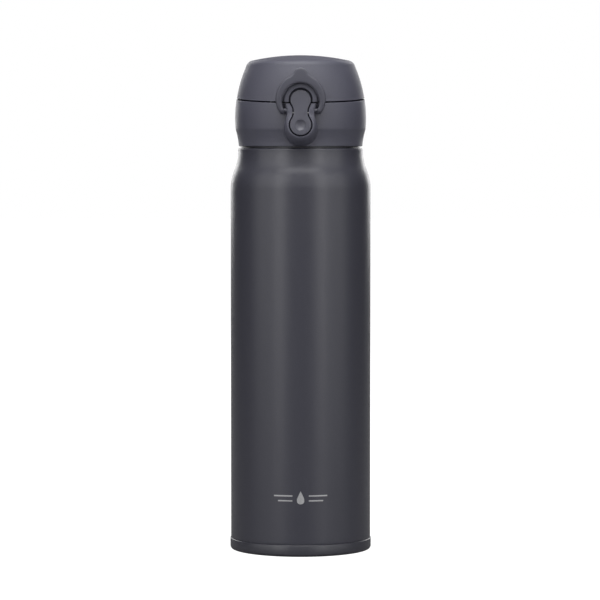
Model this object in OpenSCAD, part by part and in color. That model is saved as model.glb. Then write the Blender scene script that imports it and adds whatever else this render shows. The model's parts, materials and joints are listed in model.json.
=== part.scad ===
// Vacuum flask with a flip lid: a double-walled steel bottle and a screw-on
// cap with a rocker button, a lock ring and a sprung lid.
// Origin at the centre of the base, +Z up, the button faces -Y.

/* [Bottle] */
// Radius of the painted body
body_r = 34.65; // [34.3:0.05:34.8]
// Radius of the base cap
base_r = 35; // [35:0.1:35.5]
// Height of the base cap
base_h = 5.7; // [5.2:0.1:6.2]
// Radius at the top of the shoulder
shoulder_r = 30.85; // [30.7:0.05:31.1]
// Height where the shoulder starts to curve in
shoulder_z = 179.3; // [174:0.5:180]
// Radius of the mouth
mouth_r = 20; // [19.8:0.05:20]
// Thickness of the steel walls
steel_t = 0.6; // [0.5:0.05:0.6]

/* [Cap] */
// Overall height of the flask
flask_h = 245; // [244:0.5:247]
// Thickness of the plastic walls
cap_t = 1.8; // [1.6:0.1:1.9]
// Pitch of the neck thread
thread_pitch = 4; // [4:0.1:4.4]
// Gap between lid and collar
seam_gap = 0.6; // [0.5:0.1:0.8]

/* [Latch] */
// Radius of the button's upper circle
button_top_r = 5.04; // [4.8:0.02:5.1]
// Radius of the button's lower circle
button_low_r = 5.23; // [5:0.02:5.3]
// Clear gap round the button
button_gap = 0.5; // [0.45:0.05:0.55]
// Outer radius of the lock ring
ring_r = 12.14; // [12:0.02:12.4]
// Radius of the lock ring's studs
stud_r = 1; // [0.9:0.05:1]

/* [Hidden] */
$fn = 64;
eps = 0.01;
big = 200;

// Heights up the bottle
foot_z = 2.6;
body_z = 6.3;
shoulder_top_z = 199.1;
shoulder_bend_z = shoulder_top_z - 1.2;
bead_r = 29.4;
bead_z = shoulder_top_z + 0.3;
mouth_z = 214;

// Neck and its thread
vacuum_gap = 1.2;
neck_in_r = mouth_r + steel_t + vacuum_gap;
neck_r = neck_in_r + steel_t;
thread_depth = 1.1;
thread_play = 0.35;
thread_z = 202.6;
thread_turns = 1.75;
inner_inset = 2.65;
inner_drop = 1.2;

// Cap: the collar and the lid share one side arc and one top arc
collar_z = 200.1;
collar_low_r = 30.65;
edge_z = 208.5;
side_arc = 63.5;
side_x = -31.1;
side_z = 214;
dome_arc = 110;
dome_z = flask_h - dome_arc;
deck_z = 216.5;
deck_t = 1.8;
deck_hole_r = 15.7;
groove_in_r = 17.9;
groove_out_r = 20.1;
groove_z = deck_z + 0.85;
skirt_in_r = 28.9;
collar_in_r = 30.4;
pad_r = 29.3;
seam_z = 223.54;
seam_tilt = 4;

// Lid hinge
hinge_y = 31.5;
hinge_z = 223;
knuckle_r = 3.35;
knuckle_half = 7;
ear_half = 10.4;
ear_gap = 0.35;
pin_r = 1.2;
pin_play = 0.05;
pocket_r = 2.55;
pocket_half = 4.5;

// Latch face: a plane that leans forward at its foot
lean = 12;
face_y = -35.6;
face_z = 216.9;
top_v = 5.9;
low_v = -6.42;
waist = 3.4;
frame_r = 8.2;
frame_low_v = -7.2;
frame_waist = 6.8;
frame_set = 0.5;
frame_d = 9;
horn_in_r = 5.7;
horn_z = 222.7;
horn_reach = 65.8;
ring_reach = 66.1;
button_reach = 63.7;
button_t = 2.4;
rock_d = 3.4;
rock_pin_r = 0.7;
lug_r = 1.2;
lug_half = 2.6;
cavity_d = 4.1;
spring_hole_r = 2.3;
spring_hole_d = 6.5;

// Lock ring
ring_in_r = 9.1;
ring_in_z = 221.65;
ring_z = 222.95;
stud_y = -33.65;
ring_back_y = -32;
stud_z = 217.5;
stud_play = 0.06;
ring_end_r = 1.9;
ring_end_x = 7.95;
stud_tip_x = 4.8;
tab_r = 3.3;
tab_z = 234.9;

function arc(cx, cy, r, a0, a1, n) =
    [for (i = [0:n]) let (a = a0 + (a1 - a0) * i / n) [cx + r * cos(a), cy + r * sin(a)]];

function bezier(a, b, c, n) =
    [for (i = [0:n]) let (t = i / n) a * (1 - t) * (1 - t) + b * 2 * t * (1 - t) + c * t * t];

// Evenly spaced values from a to b
function span(a, b, n) = [for (i = [0:n]) a + (b - a) * i / n];

// Radius of the collar and lid at a height, t inside the outer surface
function side_r(z, t = 0) = side_x + sqrt((side_arc - t) * (side_arc - t) - (z - side_z) * (z - side_z));

// Height of the lid's top at a radius, t inside the outer surface
function dome_h(r, t = 0) = dome_z + sqrt((dome_arc - t) * (dome_arc - t) - r * r);

// Shoulder: an outward and an inward arc of one radius, from bottom to top
shoulder_dr = body_r - shoulder_r;
shoulder_dz = shoulder_bend_z - shoulder_z;
shoulder_a = 2 * atan(shoulder_dr / shoulder_dz);
shoulder_arc = shoulder_dz / (2 * sin(shoulder_a));

function shoulder(t, drop) = concat(
    arc(body_r - shoulder_arc, shoulder_z - drop, shoulder_arc - t, 0, shoulder_a, 6),
    arc(shoulder_r + shoulder_arc, shoulder_bend_z - drop, shoulder_arc + t, 180 + shoulder_a, 180, 6)
);

function flip(points) = [for (i = [len(points) - 1:-1:0]) points[i]];

// Outline of two circles on the v axis joined by a waist with concave sides
function waist_arc(r1, r2, w, d) = let (
    a = r1 - w, b = r2 - w, s = sqrt(a) + sqrt(b), m = (r1 + r2) / 2 + w
) (d * d / (s * s) - m) / 2;

function keyhole(v1, r1, v2, r2, w) = let (
    rc = waist_arc(r1, r2, w, v1 - v2),
    vw = v1 - sqrt((r1 + rc) * (r1 + rc) - (w + rc) * (w + rc)),
    a1 = atan2(vw - v1, w + rc),
    a2 = atan2(vw - v2, w + rc),
    right = concat(
        arc(0, v2, r2, -90, a2, 12),
        arc(w + rc, vw, rc, 180 + a2, 180 + a1, 8),
        arc(0, v1, r1, a1, 90, 12)
    )
) concat(right, [for (i = [len(right) - 2:-1:1]) [-right[i][0], right[i][1]]]);

// Helical ridge: a trapezoid swept up round the Z axis
module ridge(root_r, crest_r, z0, turns) {
    steps = 36;
    n = round(turns * steps);
    root_w = 1;
    crest_w = 0.4;
    rings = [for (i = [0:n]) let (
        a = 360 * i / steps,
        z = z0 + thread_pitch * i / steps,
        fade = min(1, min(i, n - i) / 6 + 0.15),
        tip_r = root_r + (crest_r - root_r) * fade
    ) [
        [root_r * cos(a), root_r * sin(a), z - root_w],
        [tip_r * cos(a), tip_r * sin(a), z - crest_w],
        [tip_r * cos(a), tip_r * sin(a), z + crest_w],
        [root_r * cos(a), root_r * sin(a), z + root_w]
    ]];
    points = [for (ring = rings) each ring];
    sides = [for (i = [0:n - 1], k = [0:3]) each [
        [4 * i + k, 4 * i + (k + 1) % 4, 4 * i + 4 + k],
        [4 * i + (k + 1) % 4, 4 * i + 4 + (k + 1) % 4, 4 * i + 4 + k]
    ]];
    faces = concat(sides, [[3, 2, 1, 0], [4 * n, 4 * n + 1, 4 * n + 2, 4 * n + 3]]);
    polyhedron(points, crest_r > root_r ? faces : [for (f = faces) flip(f)]);
}

// Coil spring along +Z, ends cut square
module coil(r, wire_r, length, turns) {
    steps = 12;
    n = turns * steps;
    sides = 6;
    points = [for (i = [0:n], k = [0:sides - 1]) let (
        a = 360 * i / steps,
        b = 360 * k / sides,
        rr = r + wire_r * cos(b)
    ) [rr * cos(a), rr * sin(a), wire_r + (length - 2 * wire_r) * i / n + wire_r * sin(b)]];
    skin = [for (i = [0:n - 1], k = [0:sides - 1]) let (
        p = sides * i + k, q = sides * i + (k + 1) % sides
    ) each [[p, q, p + sides], [q, q + sides, p + sides]]];
    first = [for (k = [sides - 1:-1:0]) k];
    last = [for (k = [0:sides - 1]) sides * n + k];
    polyhedron(points, concat(skin, [first, last]));
}

module along_x(half, r) {
    rotate([0, 90, 0]) translate([0, 0, -half]) cylinder(r = r, h = 2 * half);
}

// Children drawn on the latch face: X across, Y up the face, Z outward
module on_face() {
    translate([0, face_y, face_z]) rotate([90 - lean, 0, 0]) children();
}

// Everything above, or below, the seam plane moved up by shift
module above_seam(shift) {
    translate([0, 0, seam_z + shift]) rotate([seam_tilt, 0, 0]) translate([-big / 2, -big / 2, 0])
        cube([big, big, big]);
}

module below_seam(shift) {
    translate([0, 0, seam_z + shift]) rotate([seam_tilt, 0, 0]) translate([-big / 2, -big / 2, -big])
        cube([big, big, big]);
}

// Cylinder about the lid's hinge line
module about_hinge(half, r) {
    translate([0, hinge_y, hinge_z]) along_x(half, r);
}

/* Bottle */

module outer_shell() {
    t = steel_t;
    color([0.27, 0.27, 0.31]) {
        rotate_extrude($fn = 128) polygon(concat(
            [[body_r - 1.35, foot_z], [body_r - 0.75, foot_z], [body_r - 0.75, body_z - 0.4]],
            [[body_r - 0.2, body_z - 0.2], [body_r, body_z + 0.2]],
            shoulder(0, 0),
            [[shoulder_r, shoulder_top_z - 0.5], [shoulder_r - 0.5, shoulder_top_z]],
            [[bead_r, shoulder_top_z], [bead_r - 0.2, bead_z], [bead_r - 1.4, bead_z]],
            [[bead_r - 1.6, shoulder_top_z]],
            [[neck_r, shoulder_top_z], [neck_r, mouth_z - 0.2], [neck_r - 0.2, mouth_z]],
            [[mouth_r + t + 0.05, mouth_z], [mouth_r + t + 0.05, mouth_z - 0.7]],
            [[neck_in_r, mouth_z - 0.7], [neck_in_r, shoulder_top_z - t]],
            [[shoulder_r - t, shoulder_top_z - t]],
            flip(shoulder(t, 0)),
            [[body_r - t, body_z + 0.4], [body_r - 1.35, body_z - 0.4]]
        ));
        ridge(neck_r - 0.25, neck_r + thread_depth, thread_z, thread_turns);
    }
}

module inner_bottle() {
    t = steel_t;
    r = body_r - inner_inset;
    neck_z = shoulder_top_z - 1.8;
    color([0.75, 0.75, 0.76])
        rotate_extrude($fn = 128) polygon(concat(
            [[0, 8.2], [18, 8.8]],
            arc(r - 7, 15.8, 7, -84, 0, 6),
            shoulder(inner_inset, inner_drop),
            [[shoulder_r - inner_inset, neck_z]],
            [[mouth_r + t, neck_z], [mouth_r + t, mouth_z], [mouth_r, mouth_z], [mouth_r, neck_z - t]],
            [[shoulder_r - inner_inset - t, neck_z - t]],
            flip(shoulder(inner_inset + t, inner_drop)),
            flip(arc(r - 7, 15.8, 7 - t, -84, 0, 6)),
            [[18, 8.8 + t], [0, 8.2 + t]]
        ));
}

module bottom_plate() {
    r = body_r - 1.4;
    color([0.7, 0.7, 0.71])
        rotate_extrude() polygon([
            [0.8, 4], [11, 4], [12, 3], [r, 3], [r, 3.7], [12.4, 3.7], [11.4, 4.7], [0.8, 4.7]
        ]);
}

module radiation_foil() {
    r = body_r - inner_inset + 0.1;
    color([0.8, 0.5, 0.35]) translate([0, 0, 24]) difference() {
        cylinder(r = r + 0.15, h = 148);
        translate([0, 0, -eps]) cylinder(r = r, h = 148 + 2 * eps);
    }
}

module getter_capsule() {
    color([0.6, 0.6, 0.58]) translate([18, 0, 3.75]) rotate_extrude()
        polygon([[0, 0], [4, 0], [4, 1.5], [3.6, 1.8], [3, 1.8], [2.8, 1.2], [0, 1.2]]);
}

module vacuum_seal() {
    color([0.55, 0.56, 0.58]) translate([0, 0, 3.2]) rotate_extrude()
        polygon([[0, 0], [1.8, 0], [2.8, 0.4], [3, 0.8], [0.7, 0.8], [0.7, 1.2], [0, 1.2]]);
}

module base_cap() {
    round_r = 1;
    recess_r = 25;
    color([0.255, 0.26, 0.28])
        rotate_extrude($fn = 128) polygon(concat(
            [[0, 0.8], [recess_r, 0.8], [recess_r + 0.8, 0]],
            arc(base_r - round_r, round_r, round_r, -90, 0, 6),
            [[base_r, base_h - 0.4], [base_r - 0.4, base_h], [base_r - 1, base_h]],
            [[base_r - 1, 2.4], [base_r - 2, 1.8], [0, 1.8]]
        ));
}

module base_label() {
    color([0.72, 0.73, 0.74]) translate([0, 0, 0.6]) cylinder(r = 22, h = 0.2);
}

/* Cap */

module stopper_gasket() {
    r = mouth_r - 2.1;
    lip_r = mouth_r - 0.3;
    color([0.82, 0.82, 0.8])
        rotate_extrude() polygon([
            [r, 201.2], [r + 1, 201.2], [lip_r, 202], [lip_r, 202.3], [r + 1, 202.6],
            [r + 1, 204.2], [lip_r, 205], [lip_r, 205.3], [r + 1, 205.6], [r + 1, 206.1], [r, 206.1]
        ]);
}

module collar_ring() {
    flare_h = edge_z - collar_z;
    flare_r = side_r(edge_z) - collar_low_r;
    top_z = seam_z + 4.5;
    deck_top_z = deck_z + deck_t;
    lower = [for (k = span(0, 1, 6)) [collar_low_r + flare_r * pow(k, 1.6), collar_z + flare_h * k]];
    upper = [for (z = span(edge_z + 2.4, top_z, 7)) [side_r(z), z]];
    inner = [for (z = span(top_z, deck_top_z, 5)) [side_r(z, cap_t), z]];
    rotate_extrude($fn = 128) polygon(concat(
        lower, upper, inner,
        [[deck_hole_r, deck_top_z], [deck_hole_r, deck_z]],
        [[groove_in_r, deck_z], [groove_in_r, groove_z], [groove_out_r, groove_z], [groove_out_r, deck_z]],
        [[collar_in_r, deck_z], [collar_in_r, 210], [skirt_in_r, 208.4], [skirt_in_r, collar_z]]
    ));
}

module latch_frame() {
    difference() {
        on_face() translate([0, 0, -frame_d]) linear_extrude(frame_d - frame_set)
            polygon(keyhole(top_v, frame_r, frame_low_v, frame_r, frame_waist));
        cylinder(r = pad_r, h = flask_h);
        translate([-20, -60, collar_z - 10]) cube([40, 60, 10]);
    }
}

// Room for the button, its pin, its lug and its spring, and for the ring's studs
module latch_room() {
    on_face() {
        translate([0, 0, -cavity_d]) linear_extrude(cavity_d + 1) polygon(keyhole(
            top_v, button_top_r + button_gap, low_v, button_low_r + button_gap, waist + button_gap));
        translate([-lug_half - 0.5, -1.9, -4.9]) cube([2 * lug_half + 1, 3.8, 3]);
        translate([0, low_v, -spring_hole_d]) cylinder(r = spring_hole_r, h = 4);
        translate([0, 0, -rock_d]) along_x(5.6, rock_pin_r + 0.02);
    }
    for (s = [-1, 1])
        translate([s * 7.1, stud_y, stud_z]) along_x(2.5, stud_r + stud_play);
}

module hinge_ears() {
    for (s = [-1, 1]) {
        mid = s * (knuckle_half + ear_gap + ear_half) / 2;
        half = (ear_half - knuckle_half - ear_gap) / 2;
        translate([mid, hinge_y, hinge_z]) along_x(half, knuckle_r);
        translate([mid - half, hinge_y - 3, hinge_z - 7]) cube([2 * half, 4.6, 7]);
    }
}

module cap_collar() {
    notch = knuckle_half + ear_gap;
    color([0.28, 0.28, 0.32]) difference() {
        union() {
            difference() {
                union() {
                    collar_ring();
                    latch_frame();
                }
                above_seam(-seam_gap / 2);
                latch_room();
            }
            hinge_ears();
        }
        translate([-notch, hinge_y - 4, hinge_z - 4.4]) cube([2 * notch, 20, 20]);
        about_hinge(ear_half + 1, pin_r + 0.02);
    }
}

module thread_sleeve() {
    root_r = neck_r + thread_depth + 0.4;
    top_z = deck_z - 2.1;
    color([0.2, 0.2, 0.22]) {
        rotate_extrude() polygon([
            [root_r, 200.6], [25.4, 200.6], [25.4, 199.5], [30.1, 199.5], [30.1, 199.95],
            [28.6, 199.95], [28.6, 201.4], [25.8, 201.4], [25.8, top_z], [29.1, top_z],
            [29.1, deck_z], [root_r, deck_z]
        ]);
        ridge(root_r + 0.25, neck_r + thread_play, thread_z + thread_pitch / 2, thread_turns);
    }
}

module mouthpiece() {
    out_r = mouth_r - 1.2;
    in_r = 17;
    groove_r = mouth_r - 2.25;
    floor_z = 223;
    color([0.16, 0.16, 0.18]) difference() {
        rotate_extrude($fn = 96) polygon([
            [in_r, 199.6], [out_r - 0.4, 199.6], [out_r - 0.2, 200.9], [groove_r, 200.9], [groove_r, 206.4],
            [out_r, 206.4], [out_r, 214.6], [23.3, 214.6], [23.3, deck_z], [15.4, deck_z],
            [15.2, 222], [14.2, 230.8], [13.8, 231.4], [13.2, 231.5], [12.7, 231.1],
            [13.4, 225], [12.6, floor_z + 1.6], [0, floor_z + 1.6], [0, floor_z], [11.8, floor_z],
            [13.4, 220], [13.6, 214.8], [in_r, 213]
        ]);
        translate([0, -3.4, floor_z - 1]) cylinder(r = 5.2, h = 4);
        translate([0, 7.6, floor_z - 1]) cylinder(r = 1.2, h = 4);
    }
}

module mouthpiece_gasket() {
    color([0.82, 0.82, 0.8]) rotate_extrude()
        polygon([[18, deck_z + 0.02], [20, deck_z + 0.02], [20, groove_z - 0.05], [18, groove_z - 0.05]]);
}

module hinge_pin() {
    color([0.75, 0.75, 0.76]) about_hinge(ear_half - 0.1, pin_r);
}

module lid_spring() {
    color([0.7, 0.7, 0.71]) translate([-4, hinge_y, hinge_z]) rotate([0, 90, 0]) coil(1.9, 0.35, 8, 6);
}

module button_pin() {
    color([0.75, 0.75, 0.76]) on_face() translate([0, 0, -rock_d]) along_x(5.5, rock_pin_r);
}

module button_spring() {
    color([0.7, 0.7, 0.71]) on_face() translate([0, low_v, -spring_hole_d + 0.1])
        coil(1.6, 0.3, spring_hole_d - button_t - 0.2, 4);
}

/* Lid, ring and button */

// Web that joins the lid's wall to its hinge knuckle
module lid_web() {
    translate([-knuckle_half, hinge_y - 2.4, hinge_z]) cube([2 * knuckle_half, 4.4, 5.6]);
}

// Upper half of the button's frame: its front clears the lock ring as the lid turns
module horn() {
    intersection() {
        translate([0, -29, horn_z]) rotate([90, 0, 0]) difference() {
            cylinder(r = frame_r, h = 8);
            translate([0, 0, -eps]) cylinder(r = horn_in_r, h = 9);
        }
        about_hinge(12, horn_reach);
    }
}

module lid_shell() {
    t = cap_t;
    low_z = 220;
    bend_z = 239.8;
    side = [for (z = span(low_z, bend_z, 6)) [side_r(z, 0.1), z]];
    corner = bezier([side_r(bend_z), bend_z], [26, 241.93], [23.8, dome_h(23.8)], 6);
    top = [for (r = [18, 12, 6, 0]) [r, dome_h(r)]];
    in_top = [for (r = [22, 15, 7.5, 0]) [r, dome_h(r, t)]];
    in_side = [for (z = span(low_z, bend_z - 1, 5)) [side_r(z, t), z]];
    mouth = [[0, low_z - 1], [side_r(low_z, t), low_z - 1]];
    color([0.32, 0.32, 0.36]) difference() {
        union() {
            rotate_extrude($fn = 128) polygon(concat([[0, low_z]], side, corner, top));
            horn();
            about_hinge(knuckle_half, knuckle_r);
            lid_web();
        }
        difference() {
            rotate_extrude($fn = 128) polygon(concat(mouth, in_side, in_top));
            about_hinge(knuckle_half, knuckle_r);
        }
        difference() {
            below_seam(seam_gap / 2);
            about_hinge(knuckle_half, knuckle_r);
            lid_web();
        }
        for (s = [-1, 1])
            translate([s * (knuckle_half + 2), hinge_y, hinge_z]) along_x(2, knuckle_r + 0.4);
        about_hinge(knuckle_half + 1, pin_r + pin_play);
        about_hinge(pocket_half, pocket_r);
    }
}

module lid_liner() {
    color([0.18, 0.18, 0.2]) rotate_extrude($fn = 96) polygon([
        [7.6, 226.9], [10.2, 226.9], [10.2, 235.6], [24, 235.6], [24.4, 231], [25.8, 231],
        [26.1, 236.8], [25.6, 237.4], [0, 237.4], [0, 235.6], [8.4, 235.6], [8.4, 228.6], [7.6, 228.6]
    ]);
}

module lid_gasket() {
    color([0.82, 0.82, 0.8]) rotate_extrude() polygon([
        [0, 224.9], [7.4, 224.9], [8.4, 225.3], [10, 225.3], [10.2, 225.6], [10.2, 226.8],
        [7.4, 226.8], [7.4, 228.7], [8.2, 229.1], [8.2, 229.6], [6.8, 229.6], [6.4, 226.6], [0, 226.6]
    ]);
}

module ring_outline() {
    difference() {
        union() {
            intersection() {
                translate([0, ring_z]) circle(r = ring_r);
                translate([-20, stud_z - ring_end_r]) square([40, 40]);
            }
            polygon(concat(
                [[-8, ring_z + 8], [8, ring_z + 8]],
                bezier([5.9, ring_z + 10.35], [4.3, tab_z - 1.1], [3.25, tab_z + 0.6], 4),
                arc(0, tab_z, tab_r, 25, 155, 8),
                bezier([-3.25, tab_z + 0.6], [-4.3, tab_z - 1.1], [-5.9, ring_z + 10.35], 4)
            ));
        }
        translate([0, ring_in_z]) circle(r = ring_in_r);
        translate([-ring_end_x, stud_z - 10]) square([2 * ring_end_x, 10 + ring_z - stud_z]);
    }
}

module ring_side() {
    polygon([
        [ring_back_y, stud_z], [ring_back_y, 224], [ring_back_y - 0.2, 239],
        [-35.2, 239], [-36.3, 230], [-36.7, 223], [-36.3, stud_z + 0.6], [-35.5, stud_z]
    ]);
    translate([stud_y, stud_z]) circle(r = ring_end_r);
}

module lock_ring() {
    color([0.28, 0.28, 0.32]) {
        difference() {
            intersection() {
                translate([0, -30, 0]) rotate([90, 0, 0]) linear_extrude(9) ring_outline();
                translate([-15, 0, 0]) rotate([90, 0, 90]) linear_extrude(30) ring_side();
            }
            about_hinge(8.7, ring_reach);
        }
        for (s = [-1, 1])
            translate([s * (ring_end_x + stud_tip_x + 0.8) / 2, stud_y, stud_z])
                along_x((ring_end_x - stud_tip_x + 0.8) / 2, stud_r);
    }
}

module open_button() {
    color([0.31, 0.31, 0.35]) difference() {
        union() {
            difference() {
                on_face() translate([0, 0, -button_t]) linear_extrude(button_t)
                    polygon(keyhole(top_v, button_top_r, low_v, button_low_r, waist));
                about_hinge(12, button_reach);
            }
            on_face() {
                translate([-lug_half, -1.2, -rock_d]) cube([2 * lug_half, 2.4, rock_d - 1]);
                translate([0, 0, -rock_d]) along_x(lug_half, lug_r);
            }
        }
        on_face() {
            translate([0, low_v - 0.2, 3.6]) sphere(r = 4.5);
            translate([0, 0, -rock_d]) along_x(lug_half + 1, rock_pin_r + pin_play);
        }
    }
}

outer_shell();
inner_bottle();
bottom_plate();
radiation_foil();
getter_capsule();
vacuum_seal();
base_cap();
base_label();
stopper_gasket();
cap_collar();
thread_sleeve();
mouthpiece();
mouthpiece_gasket();
hinge_pin();
lid_spring();
button_pin();
button_spring();
lid_shell();
lid_liner();
lid_gasket();
lock_ring();
open_button();
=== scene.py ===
import json
from math import acos, asin, atan2, cos, degrees, pi, radians, sin, sqrt, tan

import bmesh
import bpy
from mathutils import Matrix, Vector


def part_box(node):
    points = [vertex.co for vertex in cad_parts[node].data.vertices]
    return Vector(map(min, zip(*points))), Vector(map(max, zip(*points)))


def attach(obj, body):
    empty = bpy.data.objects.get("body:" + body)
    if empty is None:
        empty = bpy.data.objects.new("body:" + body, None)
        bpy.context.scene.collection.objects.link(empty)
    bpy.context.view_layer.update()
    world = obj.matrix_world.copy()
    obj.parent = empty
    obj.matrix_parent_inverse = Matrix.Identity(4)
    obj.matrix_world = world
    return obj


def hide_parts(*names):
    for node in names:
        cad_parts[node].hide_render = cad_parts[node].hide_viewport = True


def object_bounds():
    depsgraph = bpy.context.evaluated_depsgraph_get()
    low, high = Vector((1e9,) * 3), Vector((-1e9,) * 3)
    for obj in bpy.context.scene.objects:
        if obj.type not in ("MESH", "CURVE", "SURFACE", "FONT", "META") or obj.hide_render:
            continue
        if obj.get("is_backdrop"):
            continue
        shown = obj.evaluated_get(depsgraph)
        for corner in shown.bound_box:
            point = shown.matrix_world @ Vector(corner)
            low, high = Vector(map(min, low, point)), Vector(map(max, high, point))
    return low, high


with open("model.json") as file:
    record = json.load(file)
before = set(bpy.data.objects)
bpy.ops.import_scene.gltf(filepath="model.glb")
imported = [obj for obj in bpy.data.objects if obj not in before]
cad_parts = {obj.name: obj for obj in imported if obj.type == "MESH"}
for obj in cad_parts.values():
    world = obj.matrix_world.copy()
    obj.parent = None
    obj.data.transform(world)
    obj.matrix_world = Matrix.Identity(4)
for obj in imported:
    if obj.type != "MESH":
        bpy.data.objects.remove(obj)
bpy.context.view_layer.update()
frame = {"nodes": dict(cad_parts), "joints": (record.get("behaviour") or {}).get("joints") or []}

# ---------------------------------------------------------------- Studio
# A plain pale sweep. Two tall softboxes in front, each with a wider one beside it, draw the
# light bands on the bottle. A large one hangs overhead, a weak one fills in above the camera,
# and two strips behind light the back. Sizes here are in metres, powers in watts.

camera_data = bpy.data.cameras.new("camera")
camera_data.lens = 181.4
camera_data.sensor_width = 36
camera_data.clip_end = 20
camera = bpy.data.objects.new("camera", camera_data)
camera.location = (-0.0003, -1.5, 0.205)
camera.rotation_euler = (radians(90 - 3.1), 0, 0)
bpy.context.scene.collection.objects.link(camera)
bpy.context.scene.camera = camera
bpy.context.scene.view_settings.view_transform = "Standard"


def softbox(name, place, target, width, height, power):
    """A rectangular area light turned towards a point."""
    light = bpy.data.lights.new(name, "AREA")
    light.shape = "RECTANGLE"
    light.size = width
    light.size_y = height
    light.energy = power
    box = bpy.data.objects.new(name, light)
    box.location = place
    box.rotation_euler = (Vector(target) - Vector(place)).to_track_quat("-Z", "Y").to_euler()
    bpy.context.scene.collection.objects.link(box)
    return box


BODY_MIDDLE = (0, 0, 0.12)
softbox("softbox_left", (-0.82, -1.2, 0.5), BODY_MIDDLE, 0.5, 1.2, 6.2)
softbox("softbox_right", (0.84, -1.2, 0.5), BODY_MIDDLE, 0.5, 1.2, 6)
softbox("wing_left", (-1.3, -0.62, 0.5), BODY_MIDDLE, 0.8, 1.2, 4)
softbox("wing_right", (1.3, -0.62, 0.5), BODY_MIDDLE, 0.8, 1.2, 4)
softbox("overhead", (0, -0.42, 1.3), (0, 0, 0.2), 1.2, 0.9, 22)
softbox("front_fill", (0, -2.1, 0.7), (0, 0, 0.16), 1.0, 0.6, 2.0)
softbox("rear_left", (-0.6, 1.35, 0.6), (0, 0, 0.13), 0.5, 1.0, 6)
softbox("rear_right", (0.6, 1.35, 0.6), (0, 0, 0.13), 0.5, 1.0, 6)

world = bpy.data.worlds.new("studio_white")
bpy.context.scene.world = world
world.use_nodes = True
nodes, links = world.node_tree.nodes, world.node_tree.links
nodes.clear()
heading = nodes.new("ShaderNodeSeparateXYZ")
links.new(nodes.new("ShaderNodeTexCoord").outputs["Generated"], heading.inputs[0])
height = nodes.new("ShaderNodeMapRange")
height.inputs["From Min"].default_value = -0.3
height.inputs["From Max"].default_value = 0.6
height.inputs["To Min"].default_value = 0.02
height.inputs["To Max"].default_value = 0.2
links.new(heading.outputs["Z"], height.inputs["Value"])
fill = nodes.new("ShaderNodeBackground")
fill.inputs["Color"].default_value = (1, 1, 1, 1)
links.new(height.outputs["Result"], fill.inputs["Strength"])
paper = nodes.new("ShaderNodeBackground")
paper.inputs["Color"].default_value = (1, 1, 1, 1)
paper.inputs["Strength"].default_value = 1.0
seen_ray = nodes.new("ShaderNodeLightPath")
pick = nodes.new("ShaderNodeMixShader")
links.new(seen_ray.outputs["Is Camera Ray"], pick.inputs["Fac"])
links.new(fill.outputs[0], pick.inputs[1])
links.new(paper.outputs[0], pick.inputs[2])
links.new(pick.outputs[0], nodes.new("ShaderNodeOutputWorld").inputs["Surface"])

floor_mesh = bpy.data.meshes.new("floor")
floor_bm = bmesh.new()
bmesh.ops.create_grid(floor_bm, x_segments=1, y_segments=1, size=6)
floor_bm.to_mesh(floor_mesh)
floor_bm.free()
floor = bpy.data.objects.new("floor", floor_mesh)
bpy.context.scene.collection.objects.link(floor)
floor_paint = bpy.data.materials.new("pale_floor")
floor_paint.use_nodes = True
floor_tree = floor_paint.node_tree
floor_shader = floor_tree.nodes["Principled BSDF"]
floor_shader.inputs["Base Color"].default_value = (0.2, 0.2, 0.2, 1)
floor_shader.inputs["Roughness"].default_value = 0.9
floor_shader.inputs["Specular IOR Level"].default_value = 0.1
floor_shader.inputs["Emission Color"].default_value = (1, 1, 1, 1)
# The floor glows white to the camera, a little dimmer within half a metre of the bottle: a painted shade
# round its foot, on top of the real shadow the floor takes.
reach = floor_tree.nodes.new("ShaderNodeVectorMath")
reach.operation = "LENGTH"
floor_tree.links.new(floor_tree.nodes.new("ShaderNodeTexCoord").outputs["Object"], reach.inputs[0])
glow_with_painted_shade = floor_tree.nodes.new("ShaderNodeMapRange")
glow_with_painted_shade.inputs["From Min"].default_value = 0.03
glow_with_painted_shade.inputs["From Max"].default_value = 0.5
glow_with_painted_shade.inputs["To Min"].default_value = 0.96
glow_with_painted_shade.inputs["To Max"].default_value = 1.0
floor_tree.links.new(reach.outputs["Value"], glow_with_painted_shade.inputs["Value"])
floor_ray = floor_tree.nodes.new("ShaderNodeLightPath")
shown = floor_tree.nodes.new("ShaderNodeMath")
shown.operation = "MULTIPLY"
floor_tree.links.new(floor_ray.outputs["Is Camera Ray"], shown.inputs[0])
floor_tree.links.new(glow_with_painted_shade.outputs["Result"], shown.inputs[1])
floor_tree.links.new(shown.outputs[0], floor_shader.inputs["Emission Strength"])
floor_mesh.materials.append(floor_paint)
floor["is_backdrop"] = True

# ---------------------------------------------------------------- Outer shell
# The outer wall of the bottle: a drawn steel tube necked in at the shoulder, with the
# screw thread rolled into its neck, sprayed in a satin slate grey with a fine metallic grain.

MM = 0.001
THREAD_PITCH = 4.0
THREAD_Z = 202.6
THREAD_TURNS = 1.75
THREAD_ROOT = 0.25
THREAD_DEPTH = 1.1
NECK_R = 22.4
MOUTH_R = 20.7
NECK_IN_R = 21.8
BEAD_R = 29.4
MOUTH_Z = 214.0
SHOULDER_R = 30.85
SHOULDER_Z = 179.3
SHOULDER_BEND_Z = 197.9
SHOULDER_TOP_Z = 199.1
STEEL_T = 0.6
BODY_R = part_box("outer_shell")[1].x / MM


def arc(cx, cz, r, a0, a1, n):
    """Points of an arc in a profile, angles in degrees."""
    turns = [radians(a0 + (a1 - a0) * i / n) for i in range(n + 1)]
    return [(cx + r * cos(a), cz + r * sin(a)) for a in turns]


def bend_between(a, corner, b, n):
    """A quadratic bend from a to b that is pulled towards the corner."""
    points = []
    for i in range(1, n):
        t = i / n
        points.append(tuple((1 - t) ** 2 * p + 2 * t * (1 - t) * c + t * t * q
                            for p, c, q in zip(a, corner, b)))
    return points


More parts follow.
